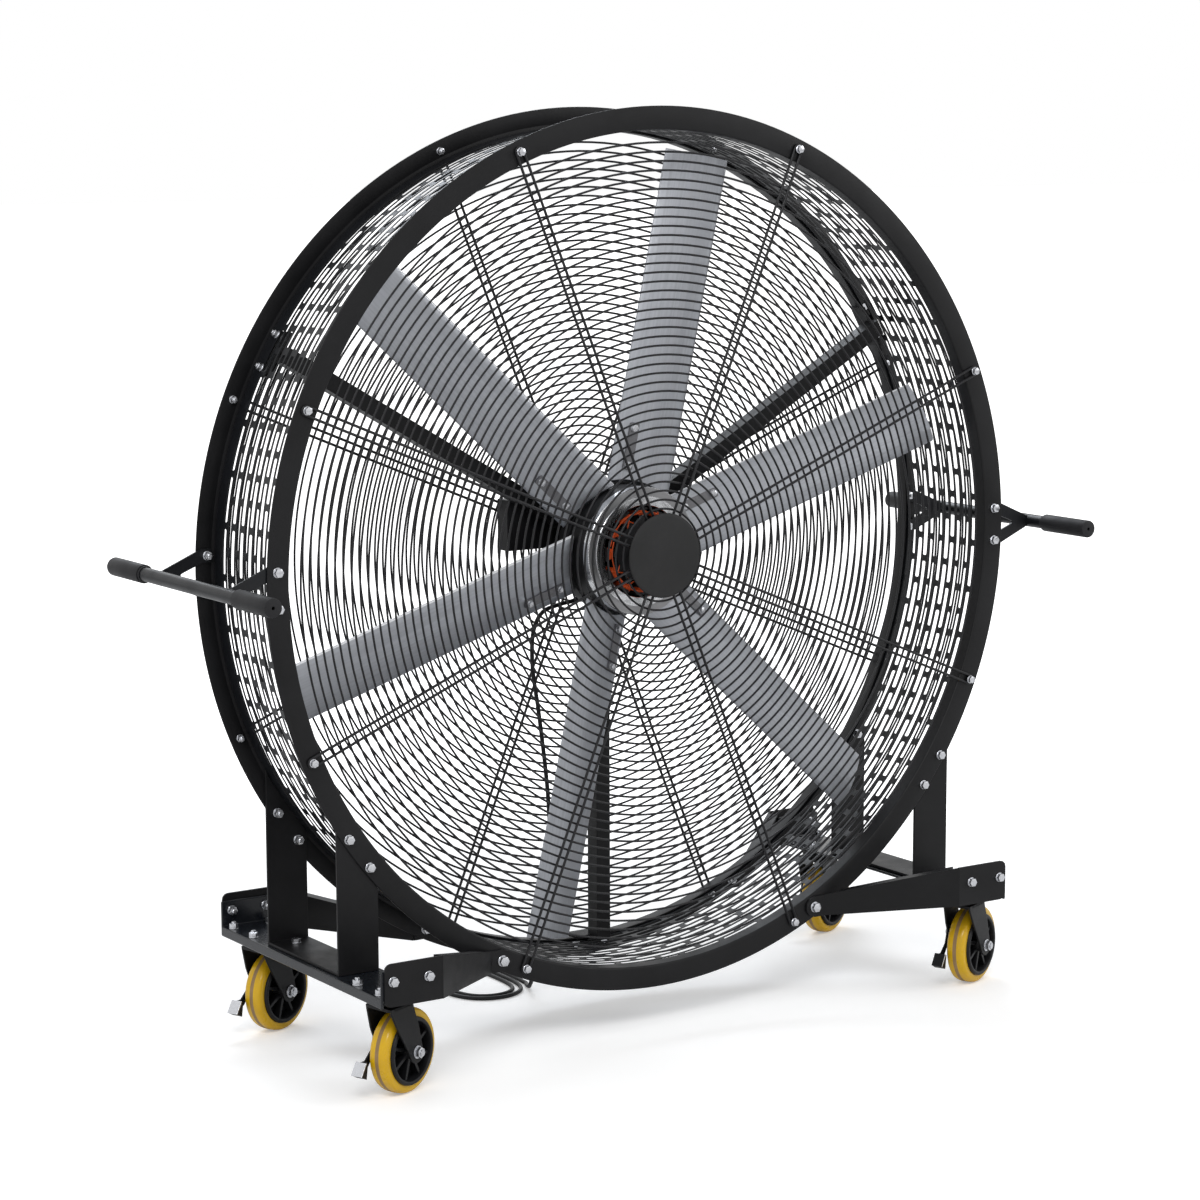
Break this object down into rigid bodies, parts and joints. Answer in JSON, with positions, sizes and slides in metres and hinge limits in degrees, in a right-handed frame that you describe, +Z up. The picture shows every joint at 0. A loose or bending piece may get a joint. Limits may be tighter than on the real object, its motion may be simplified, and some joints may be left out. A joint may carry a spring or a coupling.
{
  "type": "drum fan",
  "caption": "Large wheeled drum fan: a perforated round drum with wire guards, a blade rotor on a hub motor, side handles and a braked caster stand.",
  "frame": {"origin": "on the floor, under the middle of the drum", "axes": "+Z up; -Y the way the fan's front faces; +X to the right of a viewer who faces the front"},
  "size_m": [1.783, 0.7866, 1.676],
  "materials": {
    "black_powder_coat": "satin powder coat with a fine texture",
    "black_wire": "satin powder-coated round wire",
    "blade_aluminium": "brushed along the blade, dull grey",
    "housing_aluminium": "machined, bright",
    "steel": "ground",
    "zinc": "zinc plated",
    "winding_enamel": "orange-red enamelled wire",
    "laminations": "stacked sheets, dark varnish",
    "black_plastic": "moulded, satin",
    "black_rubber": "matt",
    "tread_yellow": "semi-gloss polyurethane, grey-brown line round its middle"
  },
  "bodies": {
    "frame": {"drum_shell": "black_powder_coat", "front_rim": "black_powder_coat", "rear_rim": "black_powder_coat", "front_guard_disc": "black_powder_coat", "motor_mount": "black_powder_coat", "left_handle": "black_powder_coat", "right_handle": "black_powder_coat", "left_base_plate": "black_powder_coat", "right_base_plate": "black_powder_coat", "left_post_frame": "black_powder_coat", "right_post_frame": "black_powder_coat", "front_left_stay": "black_powder_coat", "front_right_stay": "black_powder_coat", "rear_left_stay": "black_powder_coat", "rear_right_stay": "black_powder_coat", "front_guard": "black_wire", "rear_guard": "black_wire", "motor_shaft": "steel", "stator_windings": "winding_enamel", "stator_core": "laminations", "control_box": "black_plastic", "control_box_cover": "black_plastic", "cord_clamp": "black_plastic", "power_plug": "black_plastic", "motor_lead": "black_rubber", "power_cord": "black_rubber", "power_cord_loops": "black_rubber", "left_front_grip": "black_rubber", "left_rear_grip": "black_rubber", "right_front_grip": "black_rubber", "right_rear_grip": "black_rubber", "front_left_caster_plate": "black_powder_coat", "front_right_caster_plate": "black_powder_coat", "rear_left_caster_plate": "black_powder_coat", "rear_right_caster_plate": "black_powder_coat"},
    "rotor": {"rotor_housing": "housing_aluminium", "rotor_bearing": "steel", "blade_carrier": "black_powder_coat", "blade_1": "blade_aluminium", "blade_2": "blade_aluminium", "blade_3": "blade_aluminium", "blade_4": "blade_aluminium", "blade_5": "blade_aluminium", "blade_6": "blade_aluminium"},
    "front_left_swivel": {"front_left_caster_fork": "black_powder_coat"},
    "front_left_wheel": {"front_left_wheel_core": "black_plastic", "front_left_tyre": "tread_yellow"},
    "front_left_brake": {"front_left_brake_pedal": "zinc"},
    "front_right_swivel": {"front_right_caster_fork": "black_powder_coat"},
    "front_right_wheel": {"front_right_wheel_core": "black_plastic", "front_right_tyre": "tread_yellow"},
    "front_right_brake": {"front_right_brake_pedal": "zinc"},
    "rear_left_swivel": {"rear_left_caster_fork": "black_powder_coat"},
    "rear_left_wheel": {"rear_left_wheel_core": "black_plastic", "rear_left_tyre": "tread_yellow"},
    "rear_left_brake": {"rear_left_brake_pedal": "zinc"},
    "rear_right_swivel": {"rear_right_caster_fork": "black_powder_coat"},
    "rear_right_wheel": {"rear_right_wheel_core": "black_plastic", "rear_right_tyre": "tread_yellow"},
    "rear_right_brake": {"rear_right_brake_pedal": "zinc"}
  },
  "joints": [
    {"name": "rotor_spin", "type": "hinge", "parent": "frame", "child": "rotor", "pos_m": [0, 0, 0.876], "axis": [0, 1, 0], "continuous": true},
    {"name": "front_left_swivel_turn", "type": "hinge", "parent": "frame", "child": "front_left_swivel", "pos_m": [-0.635, -0.231, 0.166], "axis": [0, 0, 1], "continuous": true},
    {"name": "front_left_wheel_roll", "type": "hinge", "parent": "front_left_swivel", "child": "front_left_wheel", "pos_m": [-0.59846, -0.21473, 0.075], "axis": [-0.4067, 0.9135, 0], "continuous": true},
    {"name": "front_left_brake_press", "type": "hinge", "parent": "front_left_swivel", "child": "front_left_brake", "pos_m": [-0.63941, -0.19651, 0.1], "axis": [0.4067, -0.9135, 0], "range_deg": [0, 10]},
    {"name": "front_right_swivel_turn", "type": "hinge", "parent": "frame", "child": "front_right_swivel", "pos_m": [0.635, -0.231, 0.166], "axis": [0, 0, 1], "continuous": true},
    {"name": "front_right_wheel_roll", "type": "hinge", "parent": "front_right_swivel", "child": "front_right_wheel", "pos_m": [0.67154, -0.21473, 0.075], "axis": [-0.4067, 0.9135, 0], "continuous": true},
    {"name": "front_right_brake_press", "type": "hinge", "parent": "front_right_swivel", "child": "front_right_brake", "pos_m": [0.63059, -0.19651, 0.1], "axis": [0.4067, -0.9135, 0], "range_deg": [0, 10]},
    {"name": "rear_left_swivel_turn", "type": "hinge", "parent": "frame", "child": "rear_left_swivel", "pos_m": [-0.635, 0.231, 0.166], "axis": [0, 0, 1], "continuous": true},
    {"name": "rear_left_wheel_roll", "type": "hinge", "parent": "rear_left_swivel", "child": "rear_left_wheel", "pos_m": [-0.59846, 0.24727, 0.075], "axis": [-0.4067, 0.9135, 0], "continuous": true},
    {"name": "rear_left_brake_press", "type": "hinge", "parent": "rear_left_swivel", "child": "rear_left_brake", "pos_m": [-0.63941, 0.26549, 0.1], "axis": [0.4067, -0.9135, 0], "range_deg": [0, 10]},
    {"name": "rear_right_swivel_turn", "type": "hinge", "parent": "frame", "child": "rear_right_swivel", "pos_m": [0.635, 0.231, 0.166], "axis": [0, 0, 1], "continuous": true},
    {"name": "rear_right_wheel_roll", "type": "hinge", "parent": "rear_right_swivel", "child": "rear_right_wheel", "pos_m": [0.67154, 0.24727, 0.075], "axis": [-0.4067, 0.9135, 0], "continuous": true},
    {"name": "rear_right_brake_press", "type": "hinge", "parent": "rear_right_swivel", "child": "rear_right_brake", "pos_m": [0.63059, 0.26549, 0.1], "axis": [0.4067, -0.9135, 0], "range_deg": [0, 10]}
  ]
}
